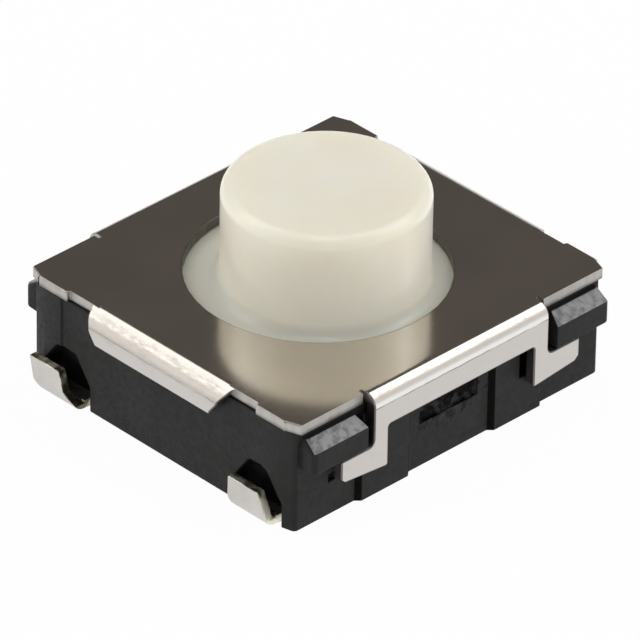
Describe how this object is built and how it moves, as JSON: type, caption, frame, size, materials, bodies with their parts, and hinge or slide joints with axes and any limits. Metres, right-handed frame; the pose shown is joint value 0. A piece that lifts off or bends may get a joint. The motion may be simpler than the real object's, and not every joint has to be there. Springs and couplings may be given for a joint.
{
  "type": "tactile push button switch",
  "caption": "Low square surface-mount tactile switch: black moulded base, folded metal cover hooked under side lugs, round ivory plunger.",
  "frame": {"origin": "middle of the footprint on the board plane, under the four terminal feet", "axes": "+Z away from the board along the plunger's travel, +Y across the two terminal sides, +X across the two strapped sides"},
  "size_m": [0.006, 0.0066, 0.0033],
  "materials": {
    "moulded_black": "fine matt moulded surface, slightly speckled on the lug chamfers",
    "cover_sheet": "bright rolled stainless sheet with sheared edges",
    "ivory_plastic": "smooth, slightly translucent ivory moulding",
    "dome_sheet": "thin bright spring sheet",
    "tinned_contact": "dull silver plating over brass, bare on the sheared edges"
  },
  "bodies": {
    "base": {"housing": "moulded_black", "cover": "cover_sheet", "snap_dome": "dome_sheet", "outer_contact_frame": "tinned_contact", "centre_contact_frame": "tinned_contact"},
    "plunger": {"stem": "ivory_plastic"}
  },
  "joints": [
    {"name": "press", "type": "slide", "parent": "base", "child": "plunger", "axis": [0, 0, -1], "range_m": [0, 0.00025], "stiffness_N_per_m": 5000, "springref_m": -0.00007, "deforming": ["snap_dome"]}
  ]
}
